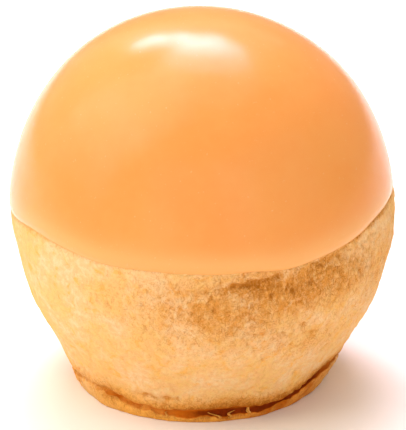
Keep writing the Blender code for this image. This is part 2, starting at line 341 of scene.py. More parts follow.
def stitch(first, near, second, far):
    """Triangles between two rings, given their first vertex numbers and their sizes."""
    count = min(near, far)
    here = np.arange(count)
    after = (here + 1) % count
    if near == far:
        return np.concatenate((
            np.stack((first + here, first + after, second + after), axis=1),
            np.stack((first + here, second + after, second + here), axis=1),
        ))
    if near > far:
        middle = first + 2 * here + 1
        return np.concatenate((
            np.stack((first + 2 * here, middle, second + here), axis=1),
            np.stack((middle, second + after, second + here), axis=1),
            np.stack((middle, first + 2 * after, second + after), axis=1),
        ))
    middle = second + 2 * here + 1
    return np.concatenate((
        np.stack((first + here, middle, second + 2 * here), axis=1),
        np.stack((first + here, first + after, middle), axis=1),
        np.stack((first + after, second + 2 * after, middle), axis=1),
    ))


def fan(first, count, centre, opens_upwards):
    """Triangles that close a ring to a centre vertex."""
    here = first + np.arange(count)
    after = first + (np.arange(count) + 1) % count
    middle = np.full(count, centre)
    return np.stack((here, after, middle) if opens_upwards else (after, here, middle), axis=1)


def closed_skin(rings, bottom, top):
    """Points and triangles through rings of points in order, capped at both ends."""
    points = np.concatenate(rings + [np.array((bottom, top))])
    starts = np.cumsum([0] + [len(ring) for ring in rings])
    triangles = [fan(0, len(rings[0]), starts[-1], False)]
    for step in range(len(rings) - 1):
        triangles.append(stitch(starts[step], len(rings[step]), starts[step + 1], len(rings[step + 1])))
    triangles.append(fan(starts[-2], len(rings[-1]), starts[-1] + 1, True))
    return points, np.concatenate(triangles)


def new_body(name, skins, material):
    """One smooth mesh object of closed skins."""
    starts = np.cumsum([0] + [len(skin[0]) for skin in skins])
    points = np.concatenate([skin[0] for skin in skins])
    triangles = np.concatenate([skin[1] + start for skin, start in zip(skins, starts)])
    mesh = bpy.data.meshes.new(name)
    mesh.vertices.add(len(points))
    mesh.vertices.foreach_set("co", points.ravel())
    mesh.loops.add(triangles.size)
    mesh.loops.foreach_set("vertex_index", triangles.ravel())
    mesh.polygons.add(len(triangles))
    mesh.polygons.foreach_set("loop_start", np.arange(len(triangles)) * 3)
    mesh.update(calc_edges=True)
    mesh.validate()
    mesh.shade_smooth()
    mesh.materials.append(material)
    body = bpy.data.objects.new(name, mesh)
    bpy.context.scene.collection.objects.link(body)
    return body


class Shade:
    """One socket of a shader tree. Arithmetic on it adds the Math or Vector Math nodes."""

    def __init__(self, tree, socket=None):
        self.tree = tree
        self.socket = socket

    def node(self, kind, settings=None, links=None, output=0):
        """Add a node: its settings first, then the values or links of its sockets."""
        made = self.tree.nodes.new("ShaderNode" + kind)
        for name, value in (settings or {}).items():
            setattr(made, name, value)
        self.wire(made, links or {})
        return Shade(self.tree, made.outputs[output])

    def wire(self, made, links):
        """Link sockets of a node, or set them where a plain value is given."""
        for name, value in links.items():
            if isinstance(value, Shade):
                self.tree.links.new(value.socket, made.inputs[name])
            else:
                made.inputs[name].default_value = value

    def combine(self, operation, other, swapped=False):
        """Work out an operation with another socket, a number or, for a place, a vector."""
        first, second = (other, self) if swapped else (self, other)
        kind = "VectorMath" if self.socket.type == "VECTOR" else "Math"
        return self.node(kind, {"operation": operation}, {0: first, 1: second})

    def __add__(self, other):
        return self.combine("ADD", other)

    __radd__ = __add__

    def __sub__(self, other):
        return self.combine("SUBTRACT", other)

    def __rsub__(self, other):
        return self.combine("SUBTRACT", other, swapped=True)

    def __mul__(self, other):
        return self.combine("MULTIPLY", other)

    __rmul__ = __mul__

    def __abs__(self):
        return self.node("Math", {"operation": "ABSOLUTE"}, {0: self})

    def blend(self, low, high):
        """A colour between low and high, by this value from 0 to 1."""
        settings = {"data_type": "RGBA", "blend_type": "MIX", "clamp_factor": True}
        return self.node("Mix", settings, {0: self, 6: low, 7: high}, output=2)

    def ramp(self, low, high):
        """0 below low, 1 above high, and a smooth rise between them."""
        settings = {"interpolation_type": "SMOOTHSTEP"}
        return self.node("MapRange", settings, {"Value": self, "From Min": low, "From Max": high})

    def noise(self, span, detail=2.0, roughness=0.5, distortion=0.0):
        """Noise from 0 to 1 over this coordinate, with features of a span's size in metres."""
        links = {"Vector": self, "Scale": 1.0 / span, "Detail": detail, "Roughness": roughness,
                 "Distortion": distortion}
        return self.node("TexNoise", {"noise_dimensions": "3D"}, links)


def new_finish(name):
    """An empty material, its Principled shader and a Shade to build on."""
    material = bpy.data.materials.new(name)
    material.use_nodes = True
    shader = material.node_tree.nodes["Principled BSDF"]
    return material, shader, Shade(material.node_tree)


def paint(body, mark, values):
    """Store a mark that its finish reads, such as how baked and shaded it is, at each point of a body.
    """
    body.data.attributes.new(mark, "FLOAT", "POINT").data.foreach_set("value", values)


# Where the crust is roughest
ROUGH_BEARING = 48.0
ROUGH_SPREAD = 42.0

# Fine relief of the crust: knobbles (span, size, shift), fibres, and wrinkles, which are few
# everywhere, more where it is rough, and come in patches
KNOBBLES = (
    (2.4 * MM, 0.085 * MM, 3.1),
    (1.2 * MM, 0.080 * MM, 7.7),
    (0.62 * MM, 0.036 * MM, 5.3),
)
FIBRE_SPAN = 0.55 * MM
FIBRE_STRETCH = 0.38
FIBRE_SIZE = 0.055 * MM
FIBRE_WARP = 0.4 * FIBRE_SPAN
WRINKLE_SPAN = 1.5 * MM
WRINKLE_WARP = 0.8 * MM
WRINKLE_WIDTH = 0.11
WRINKLE_DEPTH = 0.17 * MM
WRINKLE_PATCH_SPAN = 5.0 * MM
WRINKLED_LEAST = 0.15
WRINKLED_WHERE_ROUGH = 0.65
WRINKLED_IN_PATCHES = 1.5
KNOBBLY_LEAST = 0.5
FIBROUS_LEAST = 0.2

# The folds, sharper, deeper and more ragged than in the plain solid
FOLD_SHARPNESS = 0.60
FOLD_EXTRA = 1.2
FOLD_EVEN = 0.85
FOLD_UNEVEN = 0.6
FOLD_RAGGED = 0.55
FOLD_RAGGED_SPAN = 1.1 * MM

# Pores all over, and pits about one place: bearing, spread, height, reach upwards
PORE_SEED = 11
PORES = 950
PORE_WIDTHS = (0.13 * MM, 0.30 * MM)
PORE_DEPTHS = (0.05 * MM, 0.17 * MM)
PORE_LEVELS = (2.0 * MM, 24.5 * MM)
PORES_SMALLER = 2.2
PITS = 260
PIT_PLACE = (30.0, 28.0, 17.5 * MM, 3.4 * MM)
PIT_WIDTHS = (0.11 * MM, 0.17 * MM)
PIT_DEPTHS = (0.07 * MM, 0.17 * MM)

# Nicks seen from the front: bearing, height, half width, depth, stretch, lean in degrees
NICKS = (
    (20.9, 19.1 * MM, 0.28 * MM, 0.34 * MM, 1.5, 80.0),
    (53.3, 11.6 * MM, 0.30 * MM, 0.26 * MM, 1.6, 20.0),
    (47.3, 8.9 * MM, 0.30 * MM, 0.28 * MM, 1.5, 55.0),
    (-17.5, 14.6 * MM, 0.22 * MM, 0.22 * MM, 1.8, 110.0),
    (-40.5, 14.0 * MM, 0.22 * MM, 0.18 * MM, 1.6, 120.0),
    (-30.5, 10.6 * MM, 0.24 * MM, 0.15 * MM, 2.2, 140.0),
    (5.5, 13.6 * MM, 0.24 * MM, 0.24 * MM, 1.8, 130.0),
    (12.0, 11.2 * MM, 0.24 * MM, 0.22 * MM, 1.6, 120.0),
    (37.0, 6.2 * MM, 0.22 * MM, 0.22 * MM, 2.0, 60.0),
    (3.5, 17.6 * MM, 0.22 * MM, 0.20 * MM, 2.2, 130.0),
)


def press_marks(depth, bearing, height, marks):
    """Press marks of bearing, height, half width, depth, stretch and lean into a depth map."""
    columns = depth.shape[1]
    for centre, level, half_width, size, stretch, lean in marks:
        radius = float(outline_radius(level))
        reach = int(3.0 * stretch * half_width / (math.tau * radius / columns)) + 2
        near = (round(centre / 360.0 * columns) + np.arange(-reach, reach + 1)) % columns
        across = turn_between(centre, bearing[:, near]) * math.radians(1.0) * radius
        slope = (float(outline_radius(level + MM)) - float(outline_radius(level - MM))) / (2.0 * MM)
        upward = (height[:, near] - level) * math.hypot(1.0, slope)
        turn = math.radians(lean)
        along = across * math.cos(turn) + upward * math.sin(turn)
        aside = upward * math.cos(turn) - across * math.sin(turn)
        depth[:, near] += size * bell(np.hypot(along / stretch, aside), half_width)


def pore_marks():
    """Pores all over the belly, most of them small, and pits where the crust is roughest."""
    draw = random.Random(PORE_SEED)
    marks = []
    for _ in range(PORES):
        large = draw.random() ** PORES_SMALLER
        half_width = PORE_WIDTHS[0] + (PORE_WIDTHS[1] - PORE_WIDTHS[0]) * large
        size = PORE_DEPTHS[0] + (PORE_DEPTHS[1] - PORE_DEPTHS[0]) * large * draw.uniform(0.5, 1.0)
        level = draw.uniform(*PORE_LEVELS)
        bearing = draw.uniform(0.0, 360.0)
        stretch, lean = draw.uniform(1.0, 2.4), draw.uniform(0.0, 180.0)
        marks.append((bearing, level, half_width, size, stretch, lean))
    middle, spread, middle_level, reach = PIT_PLACE
    for _ in range(PITS):
        bearing = draw.gauss(middle, spread)
        level = min(draw.gauss(middle_level, reach), PORE_LEVELS[1])
        half_width, size = draw.uniform(*PIT_WIDTHS), draw.uniform(*PIT_DEPTHS)
        stretch, lean = draw.uniform(1.2, 3.5), draw.uniform(0.0, 180.0)
        marks.append((bearing, level, half_width, size, stretch, lean))
    return marks


def belly_grid():
    """Grid of the crust from the crevice to under the lip, with its fine relief and its depth map."""
    even = np.linspace(0.0, 1.0, BELLY_ROWS + 1)
    share = (even - BELLY_ROWS_CROWDED * np.sin(math.tau * even) / math.tau)[:, None]
    bearing = np.broadcast_to(even_bearings(BUN_COLUMNS), (BELLY_ROWS + 1, BUN_COLUMNS))
    edge = crevice_height(bearing)
    torn = unevenness(place(bearing, FOOT_RADIUS, edge), BELLY_EDGE_TORN)
    low = edge + 0.25 * CREVICE_MOUTH + np.maximum(torn, -0.2 * CREVICE_MOUTH)
    high = icing_edge(bearing) + BELLY_TUCK
    height = low + (high - low) * share
    radius = crust_shape(bearing, height)
    points = place(bearing, radius, height)

    depth = np.zeros(height.shape)
    ragged = noise_at(points, FOLD_RAGGED_SPAN, 3.6)
    uneven = FOLD_EVEN + FOLD_UNEVEN * noise_at(points, FOLD_RAGGED_SPAN, 8.1)
    for fold in FOLDS:
        fold_depth, half_width = fold[4:]
        distance = crease_distance(bearing, height, fold) + FOLD_RAGGED * half_width * ragged
        depth += FOLD_EXTRA * fold_depth * uneven * bell(distance, FOLD_SHARPNESS * half_width)
    warp = np.stack([noise_at(points, WRINKLE_SPAN, shift) for shift in (1.3, 4.1, 8.9)], axis=-1)
    ridges = noise_at(points + WRINKLE_WARP * warp, WRINKLE_SPAN, 2.2)
    rough = bell(turn_between(ROUGH_BEARING, bearing), ROUGH_SPREAD)
    patchy = WRINKLED_IN_PATCHES * noise_at(points, WRINKLE_PATCH_SPAN, 6.4)
    wrinkled = smooth_step(WRINKLED_LEAST + WRINKLED_WHERE_ROUGH * rough + patchy)
    depth += WRINKLE_DEPTH * wrinkled * bell(ridges, WRINKLE_WIDTH)
    press_marks(depth, bearing, height, pore_marks())
    press_marks(depth, bearing, height, NICKS)

    knobbly = KNOBBLY_LEAST + (1.0 - KNOBBLY_LEAST) * rough
    fibres = noise_at(points * (1.0, 1.0, FIBRE_STRETCH) + FIBRE_WARP * warp, FIBRE_SPAN, 1.7)
    fibrous = FIBROUS_LEAST + (1.0 - FIBROUS_LEAST) * rough
    relief = knobbly * unevenness(points, KNOBBLES) + FIBRE_SIZE * fibrous * fibres
    mouth = np.clip((height - low) / CREVICE_MOUTH, 0.0, 1.0)
    roll_in = BELLY_ROLL_IN * crevice_depth(bearing) * (1.0 - np.sqrt(1.0 - (1.0 - mouth) ** 2))
    slope = np.gradient(radius, axis=0) / np.gradient(height, axis=0)
    out = (relief - depth) / np.hypot(1.0, slope)
    height = height - out * slope
    return bearing, radius + out - roll_in, height, depth


# Section of the skirt: 0 to 1 up its outside and 1 to 2 into the crevice behind its torn edge,
# and how far it is set in, in mm on the outside and as a share of the crevice's depth inside
SKIRT_PROFILE = (
    (0.0, 0.14),
    (0.12, 0.04),
    (0.4, 0.0),
    (0.7, -0.02),
    (0.9, 0.01),
    (1.0, 0.07),
    (1.12, 0.40),
    (1.35, 0.70),
    (1.65, 0.90),
    (2.0, 1.0),
)


def foot_grid():
    """Grid of the browned foot, from the rim of the underside to the bottom of the crevice."""
    bearing = even_bearings(BUN_COLUMNS)
    crevice = crevice_height(bearing)
    ragged = noise_at(place(bearing, FOOT_RADIUS, 0.0 * bearing), SKIRT_RAGGED_SPAN)
    torn = unevenness(place(bearing, FOOT_RADIUS, crevice), SKIRT_EDGE_TORN)
    reach = np.clip(SKIRT_REACH + torn + around_foot(bearing, SKIRT_REACHES), *SKIRT_REACH_LIMITS)
    deepest = crevice_depth(bearing)
    rows = []
    for level, inset in SKIRT_PROFILE:
        share = np.where(level < 1.0, level * reach, reach + (level - 1.0) * (1.0 - reach))
        height = share * crevice
        radius = outline_radius(height) + foot_lobes(bearing, height)
        radius = radius + SKIRT_FLARE + SKIRT_RAGGED * ragged
        if level > 0.0:
            radius = radius + unevenness(place(bearing, radius, height), SKIRT_CRUMBLY)
        rows.append((bearing, radius - inset * (deepest if level > 1.0 else MM), height))
    return rows


def crown_ring(bearing, share, inset):
    """Radius and height of the crown, set in, from above the lip (share 0) to the top (share 1)."""
    lowest = (icing_edge(bearing) + LIP_HEIGHT - WIDEST_HEIGHT) / CROWN_RISE
    start = np.arcsin(lowest ** (CROWN_FULLNESS / 2.0))
    angle = start + (0.5 * math.pi - start) * share
    height = WIDEST_HEIGHT + (CROWN_RISE - inset) * np.sin(angle) ** (2.0 / CROWN_FULLNESS)
    radius = (WIDEST_RADIUS - inset) * np.cos(angle) ** (2.0 / CROWN_FULLNESS)
    return radius, height


# Where the rings near the top are small: share of the way up, and one point kept in how many
DOME_THINNING = (
    (0.97, 16),
    (0.93, 8),
    (0.85, 4),
    (0.65, 2),
)


def thinner(ring, share):
    """A ring at a share of the way up the dome, with fewer points near the top."""
    for limit, part in DOME_THINNING:
        if share > limit:
            return ring[::part]
    return ring


# Colours of the crust, from pale gold to the browned foot, and the painted shade of the crevice, folds
# and pits
CHOUX_PALE = (0.80, 0.55, 0.28, 1.0)
CHOUX_GOLD = (0.80, 0.48, 0.16, 1.0)
CHOUX_PEACH = (0.80, 0.42, 0.16, 1.0)
CHOUX_AMBER = (0.83, 0.37, 0.045, 1.0)
CHOUX_TAN = (0.68, 0.28, 0.05, 1.0)
CHOUX_FOOT_SHADE = (0.62, 0.14, 0.004, 1.0)
CHOUX_BROWN = (0.42, 0.13, 0.008, 1.0)
CHOUX_DEEP_SHADE = (0.22, 0.026, 0.0005, 1.0)

# Browner patches, baked colour and painted shade under the lip and towards the right: bearing, height,
# spread in degrees, reach upwards, strength
BROWNED_AND_SHADED_PATCHES = (
    (31.0, 19.6 * MM, 22.0, 2.8 * MM, 0.60),
    (60.0, 19.0 * MM, 30.0, 4.5 * MM, 0.26),
    (8.0, 17.6 * MM, 22.0, 3.6 * MM, 0.44),
    (24.0, 13.5 * MM, 9.0, 2.0 * MM, 0.26),
    (38.0, 11.5 * MM, 8.0, 2.2 * MM, 0.24),
    (17.0, 20.4 * MM, 10.0, 0.9 * MM, 0.74),
    (150.0, 19.5 * MM, 26.0, 2.8 * MM, 0.55),
    (-145.0, 10.5 * MM, 14.0, 3.0 * MM, 0.30),
    (-150.0, 20.8 * MM, 20.0, 2.0 * MM, 0.35),
)

# How much the rim of the foot darkens, browned and, in the crevice, painted with shade: bearing,
# spread, strength
RIM_DARKENING = (
    (10.0, 18.0, 0.85),
    (-39.0, 5.0, 0.35),
    (44.0, 15.0, 0.80),
    (62.0, 10.0, 0.15),
    (84.0, 10.0, -0.15),
    (170.0, 50.0, 0.5),
)
RIM_DARKENING_LEAST = 0.20
FOOT_MOTTLE_SPAN = 1.1 * MM

# Where the outside of the foot is darker, singed and painted with shade on its shaded right: bearing,
# spread, strength
SKIRT_SINGED_AND_SHADED = (
    (22.0, 9.0, 0.22),
    (46.0, 17.0, 0.42),
)

# How amber the foot is, how far that fades up the belly, and where it is less: bearing, spread,
# share
SKIRT_AMBER = 0.9
SKIRT_FADE = 1.2 * MM
SKIRT_PALER = (
    (-58.0, 14.0, 0.60),
    (76.0, 16.0, 0.50),
)

# The seam under the lip, browned and painted with the shade of the lip: how far above the lip's edge it
# starts, its width, how dark it is all round, and where it is more so (bearing, spread, strength)
SEAM_RISE = 0.35 * MM
SEAM_WIDTH = 0.3 * MM
SEAM_SHADED_AND_BROWNED = 0.20
SEAM_DARKER = (46.0, 16.0, 0.5)

# Browning with painted shade above the crevice and in the folds and pits, and the darker painted shade
# there: how far up each fades, or the depth at which it starts and the depth that it takes to reach its
# strength
RIM_HALO_FADE = 1.1 * MM
RIM_SHADE_FADE = 0.25 * MM
HOLLOWS_BROWNED_AND_SHADED = (0.08 * MM, 0.30 * MM, 0.25)
HOLLOWS_SHADE = (0.16 * MM, 0.45 * MM, 0.34)

# Browning of the foot: its underside, its outside at the floor, and what is added from a level of
# SKIRT_PROFILE on (level, span, strength) up the outside; and the painted shade in the crevice, from a
# level on in the same way
UNDERSIDE_BAKED = 0.7
FOOT_BAKED = 0.20
FOOT_BROWNER = (0.0, 1.2, 0.60)
CREVICE_SHADE = (0.90, 0.25, 1.0)


def choux_finish():
    """Dry golden crust: soft blotches of pale gold and peach, tan and brown where it baked more, with
    painted shade in its hollows and crevice and painted highlights on its fibres.
    """
    material, shader, start = new_finish("baked_choux")
    spot = start.node("TexCoord", output=3)
    baked_and_shade = start.node("Attribute", {"attribute_name": "baked_and_shade"}, output=2)
    painted_shade = start.node("Attribute", {"attribute_name": "painted_shade"}, output=2)
    skirt = start.node("Attribute", {"attribute_name": "skirt"}, output=2)
    blotches = spot.noise(4.5 * MM, 2.0, 0.5)
    mottle = spot.noise(1.4 * MM, 3.0, 0.55, 0.6)
    flecks = spot.noise(0.75 * MM, 2.0, 0.5, 0.4)
    fibres = (spot * (1.0, 1.0, 0.4)).noise(0.42 * MM, 3.0, 0.6, 0.9)
    creases = 1.0 - abs(spot.noise(0.9 * MM, 3.0, 0.6, 1.5) - 0.5).ramp(0.0, 0.04)
    strokes = (spot * (1.0, 1.0, 0.6)).noise(0.42 * MM, 2.0, 0.6, 1.2)
    colour = (blotches * 0.6 + mottle * 0.4).ramp(0.36, 0.60).blend(CHOUX_PALE, CHOUX_GOLD)
    colour = (flecks.ramp(0.40, 0.62) * 0.55).blend(colour, CHOUX_PEACH)
    colour = (mottle.ramp(0.56, 0.72) * 0.5).blend(colour, CHOUX_AMBER)
    colour = skirt.blend(colour, CHOUX_AMBER)
    tan = (baked_and_shade * 1.5 + (mottle + fibres - 1.0) * baked_and_shade * 3.0).ramp(0.0, 1.0)
    colour = tan.blend(colour, CHOUX_TAN)
    # Paler fibres, also raised in the bump: paler crust, and painted highlights on them
    shreds = 1.0 - abs(spot.noise(0.8 * MM, 2.0, 0.6, 2.0) - 0.5).ramp(0.0, 0.05)
    colour = (shreds * (1.0 - skirt) * (0.08 + baked_and_shade * 0.9)).blend(colour, CHOUX_GOLD)
    # Darker lines, also sunk in the bump: browner crust, and painted shade in the creases
    colour = (creases * (0.14 + baked_and_shade * 0.9)).blend(colour, CHOUX_BROWN)
    colour = (strokes.ramp(0.53, 0.68) * (0.14 + baked_and_shade * 1.0)).blend(colour, CHOUX_BROWN)
    brown = (baked_and_shade * 1.3 - 0.55 + (fibres - 0.5) * 2.6 * baked_and_shade).ramp(0.0, 1.0)
    colour = brown.blend(colour, CHOUX_BROWN)
    # Painted shade: the crevice, the deep folds and pits and the darker right of the foot go brown on
    # the belly and rust on the foot, then near black
    colour = (painted_shade * 2.0).blend(colour, skirt.blend(CHOUX_BROWN, CHOUX_FOOT_SHADE))
    colour = (painted_shade * 2.0 - 1.0).blend(colour, CHOUX_DEEP_SHADE)
    grain = spot.noise(0.35 * MM, 3.0, 0.6)
    height = grain * 0.4 + flecks * 0.35 + fibres * (0.2 + baked_and_shade * 1.6)
    height = height + (shreds * 0.8 - creases) * baked_and_shade
    bump = start.node("Bump", {}, {"Strength": 0.6, "Distance": 0.12 * MM, "Height": height})
    start.wire(shader, {
        "Base Color": colour,
        "Roughness": 0.62 + grain * 0.25,
        "Normal": bump,
        "Specular IOR Level": 0.05,
        "Subsurface Weight": 0.1,
        "Subsurface Radius": (1.0, 0.45, 0.2),
        "Subsurface Scale": 1.0 * MM,
    })
    return material


def rim_darkening(bearing):
    """How dark the rim of the foot is: browned, and in its crevice painted with shade."""
    return np.minimum(RIM_DARKENING_LEAST + around_foot(bearing, RIM_DARKENING), 1.0)


def rising(value, start, span, strength):
    """From 0 up to a strength as a value goes on from its start by a span."""
    return strength * smooth_step((value - start) / span)


def belly_marks(bearing, height, depth):
    """How baked and shaded (browning with some painted shade), how deep in painted shade and how amber
    each point of the belly is, from 0 to 1.
    """
    baked_and_shade = np.zeros(height.shape)
    # Browner patches: baked colour, and painted shade under the lip and towards the right
    for centre, level, spread, rise, strength in BROWNED_AND_SHADED_PATCHES:
        patch = bell(turn_between(centre, bearing), spread) * bell(height - level, rise)
        baked_and_shade = np.maximum(baked_and_shade, strength * patch)
    above = np.maximum(height - crevice_height(bearing), 0.0)
    rim = rim_darkening(bearing)
    # Brown halo above the crevice: browning, and painted shade under the belly's edge
    baked_and_shade = np.maximum(baked_and_shade, rim * bell(above, RIM_HALO_FADE))
    # The seam under the lip: browning, and the painted shade that the lip casts
    below_lip = np.maximum(icing_edge(bearing) + SEAM_RISE - height, 0.0)
    centre, spread, strength = SEAM_DARKER
    seam = SEAM_SHADED_AND_BROWNED + strength * bell(turn_between(centre, bearing), spread)
    baked_and_shade = np.maximum(baked_and_shade, seam * bell(below_lip, SEAM_WIDTH))
    # Folds and pits browner: browning, and painted shade in them
    baked_and_shade = np.minimum(baked_and_shade + rising(depth, *HOLLOWS_BROWNED_AND_SHADED), 1.0)
    # Painted shade in the deep folds and pits and just above the crevice
    painted_shade = np.maximum(rising(depth, *HOLLOWS_SHADE), rim * bell(above, RIM_SHADE_FADE))
    skirt = (SKIRT_AMBER - around_foot(bearing, SKIRT_PALER)) * bell(above, SKIRT_FADE)
    return baked_and_shade, painted_shade, skirt


def foot_marks(rows):
    """How baked, how deep in painted shade and how amber each point of the foot is, browner and painted
    with shade in its crevice.
    """
    bearing = even_bearings(BUN_COLUMNS)
    darkened = rim_darkening(bearing)
    levels = np.array([level for level, inset in SKIRT_PROFILE])
    points = np.stack([place(*row) for row in rows])
    mottle = smooth_step(0.5 + noise_at(points, FOOT_MOTTLE_SPAN, 4.7))
    baked_and_shade = np.outer(FOOT_BAKED + rising(levels, *FOOT_BROWNER), 0.20 + 0.80 * darkened)
    baked_and_shade = baked_and_shade * (0.4 + mottle)
    # Painted shade in the crevice, rising with the level and with the rim's darkening
    painted_shade = np.outer(rising(levels, *CREVICE_SHADE), darkened)
    # The right of the skirt darker: singed crust, and painted shade on its shaded side
    singed_and_shaded = around_foot(bearing, SKIRT_SINGED_AND_SHADED) * (0.4 + 0.6 * mottle)
    painted_shade = np.maximum(painted_shade, singed_and_shaded) * (0.35 + 0.65 * np.maximum(mottle, darkened))
    skirt = np.tile(SKIRT_AMBER - around_foot(bearing, SKIRT_PALER), len(rows))
    return baked_and_shade, painted_shade, skirt


belly_bearing, belly_radius, belly_height, belly_depth = belly_grid()
foot_rows = foot_grid()
underside = []
for ring_share, part in UNDERSIDE_RINGS:
    around = even_bearings(BUN_COLUMNS // part)
    underside.append(place(around, ring_share * FOOT_RADIUS, 0.0 * around))
crust = [place(*row) for row in foot_rows]
crust += [place(*row) for row in zip(belly_bearing, belly_radius, belly_height)]
around = even_bearings(BUN_COLUMNS // 2)
dome = [place(around, *crown_ring(around, 0.0, DOME_INSET - DOME_STEP))]
around = even_bearings(BUN_COLUMNS // 4)
for row_number in range(BUN_DOME_ROWS):
    dome_share = row_number / BUN_DOME_ROWS
    dome.append(thinner(place(around, *crown_ring(around, dome_share, DOME_INSET)), dome_share))
bun_top = (CROWN_SWAY, 0.0, WIDEST_HEIGHT + CROWN_RISE - DOME_INSET)
bun_skin = closed_skin(underside + crust + dome, (0.0, 0.0, 0.0), bun_top)
bun = new_body("choux_bun_crust", [bun_skin], choux_finish())

# Its marks, in the order of its points: underside, foot, belly, hidden dome, and the two ends
underside_count = sum(len(ring) for ring in underside)
hidden_count = sum(len(ring) for ring in dome) + 2
for mark, underside_value, foot_values, belly_values in zip(
    ("baked_and_shade", "painted_shade", "skirt"),
    (UNDERSIDE_BAKED, 0.0, SKIRT_AMBER),
    foot_marks(foot_rows),
    belly_marks(belly_bearing, belly_height, belly_depth),
):
    below = np.full(underside_count, underside_value)
    hidden = np.zeros(hidden_count)
    paint(bun, mark, np.concatenate((below, foot_values.ravel(), belly_values.ravel(), hidden)))

# Curls of crust that peeled at the torn crevice: bearing, lean in degrees, height, thickness
CURLS = (
    (6.0, -4.5, 0.5 * MM, 0.22 * MM),
    (11.5, 6.0, 0.5 * MM, 0.22 * MM),
    (20.5, -2.2, 1.6 * MM, 0.26 * MM),
    (-16.0, 5.0, 0.5 * MM, 0.18 * MM),
    (46.0, 2.0, 0.8 * MM, 0.16 * MM),
    (96.0, -3.0, 1.1 * MM, 0.16 * MM),
    (133.0, 2.5, 1.0 * MM, 0.14 * MM),
    (171.0, -2.0, 1.2 * MM, 0.16 * MM),
    (-122.0, 3.0, 0.9 * MM, 0.15 * MM),
)
CURL_STEPS = 15
CURL_SIDES = 10

# Where a curl starts above the floor, how far it is set in and leans in, and how far it bows out
CURL_START = 0.25 * MM
CURL_INSET = 0.15 * MM
CURL_LEAN_IN = 0.30 * MM
CURL_BOW = 0.20 * MM
CURL_THIN_ENDS = 0.45
CURL_FLATTENED = 0.6
CURLS_BAKED = 0.45
CURLS_AMBER = 0.8


def curl_skin(bearing, lean, tall, thickness):
    """A thin curved shred of crust that stands in the crevice from the skirt to the belly."""
    share = np.linspace(0.0, 1.0, CURL_STEPS)
    height = CURL_START + (0.6 * float(crevice_height(bearing)) + 0.4 * tall) * share
    turn = bearing + lean * (share - 0.5) + 0.3 * lean * np.sin(math.tau * share + lean)
    out = CURL_BOW * np.sin(math.pi * share) - CURL_INSET - CURL_LEAN_IN * share
    radius = outline_radius(height) + foot_lobes(turn, height) + out
    path = place(turn, radius, height)
    width = thickness * (CURL_THIN_ENDS + (1.0 - CURL_THIN_ENDS) * np.sin(math.pi * share))
    around = np.radians(even_bearings(CURL_SIDES))
    outward = place(bearing, 1.0, 0.0) - place(bearing, 0.0, 0.0)
    aside = np.cross((0.0, 0.0, 1.0), outward)
    ring = np.cos(around)[:, None] * aside + CURL_FLATTENED * np.sin(around)[:, None] * outward
    rings = [middle + size * ring for middle, size in zip(path, width)]
    return closed_skin(rings, path[0], path[-1])


curls = new_body("crust_curls", [curl_skin(*curl) for curl in CURLS], bun.data.materials[0])
for mark, value in (("baked_and_shade", CURLS_BAKED), ("skirt", CURLS_AMBER)):
    paint(curls, mark, np.full(len(curls.data.vertices), value))

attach(bun, "root")
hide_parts("choux_bun")
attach(curls, "root")

# Icing cap
# Caramel icing, opaque and set hard. The bun's top was dipped in it upside down, so it is even
# and glassy smooth, and ends in a round bead where it stopped. It grips the crust under it.

# Grid of the icing, and its thickness at the lip and at the top
ICING_COLUMNS = 320
ICING_ROWS = 92
ICING_INNER_ROWS = 8
ICING_EDGE_THICKNESS = 1.4 * MM
ICING_CROWN_THICKNESS = 1.65 * MM

# How far it stands proud, and more where it pooled above the lip, most at one bearing
ICING_PROUD = 0.10 * MM
ICING_POOL = 0.15 * MM
ICING_POOL_BEARING = -10.0
ICING_POOL_RISE = 6.0 * MM

# Half the thickness of the lip, and the turns round it at which it has rings
LIP_ROUNDING = 0.75 * MM
LIP_TURNS = np.arange(10.0, 171.0, 10.0)

# Shallow swells of the icing: span, size and shift
ICING_SWELLS = (
    (15.0 * MM, 0.10 * MM, 4.4),
    (6.0 * MM, 0.025 * MM, 1.9),
)

# Colours of the icing: two depths of its clouds, paler in a band at the lip, where it is thinner and
# painted with light from the floor, and bubbles
ICING_ORANGE = (0.776, 0.303, 0.067, 1.0)
ICING_DEEPER = (0.768, 0.280, 0.056, 1.0)
ICING_THIN_AND_LIT = (0.79, 0.368, 0.105, 1.0)
ICING_FLECK = (0.78, 0.44, 0.19, 1.0)
LIP_BAND = 1.2 * MM


def icing_proud(bearing, height):
    """How far the icing stands outside the outline: most at its lip, where it pooled."""
    pool = ICING_PROUD + ICING_POOL * np.cos(np.radians(bearing - ICING_POOL_BEARING))
    above_lip = np.maximum(height - icing_edge(bearing) - LIP_HEIGHT, 0.0)
    return pool * (1.0 - smooth_step(above_lip / ICING_POOL_RISE))


def lip_ring(bearing, turn):
    """A ring round the lip: 0 degrees faces out, 90 down and 180 in towards the bun."""
    top = icing_edge(bearing) + LIP_HEIGHT
    centre = outline_radius(top) + icing_proud(bearing, top) - LIP_ROUNDING
    angle = math.radians(turn)
    return place(bearing, centre + LIP_ROUNDING * math.cos(angle), top - LIP_HEIGHT * math.sin(angle))


def swell(points):
    """Push points of the icing out and in by its shallow swells."""
    middle = np.array((0.0, 0.0, WIDEST_HEIGHT))
    outward = (points - middle) / np.linalg.norm(points - middle, axis=-1, keepdims=True)
    return points + unevenness(points, ICING_SWELLS)[..., None] * outward


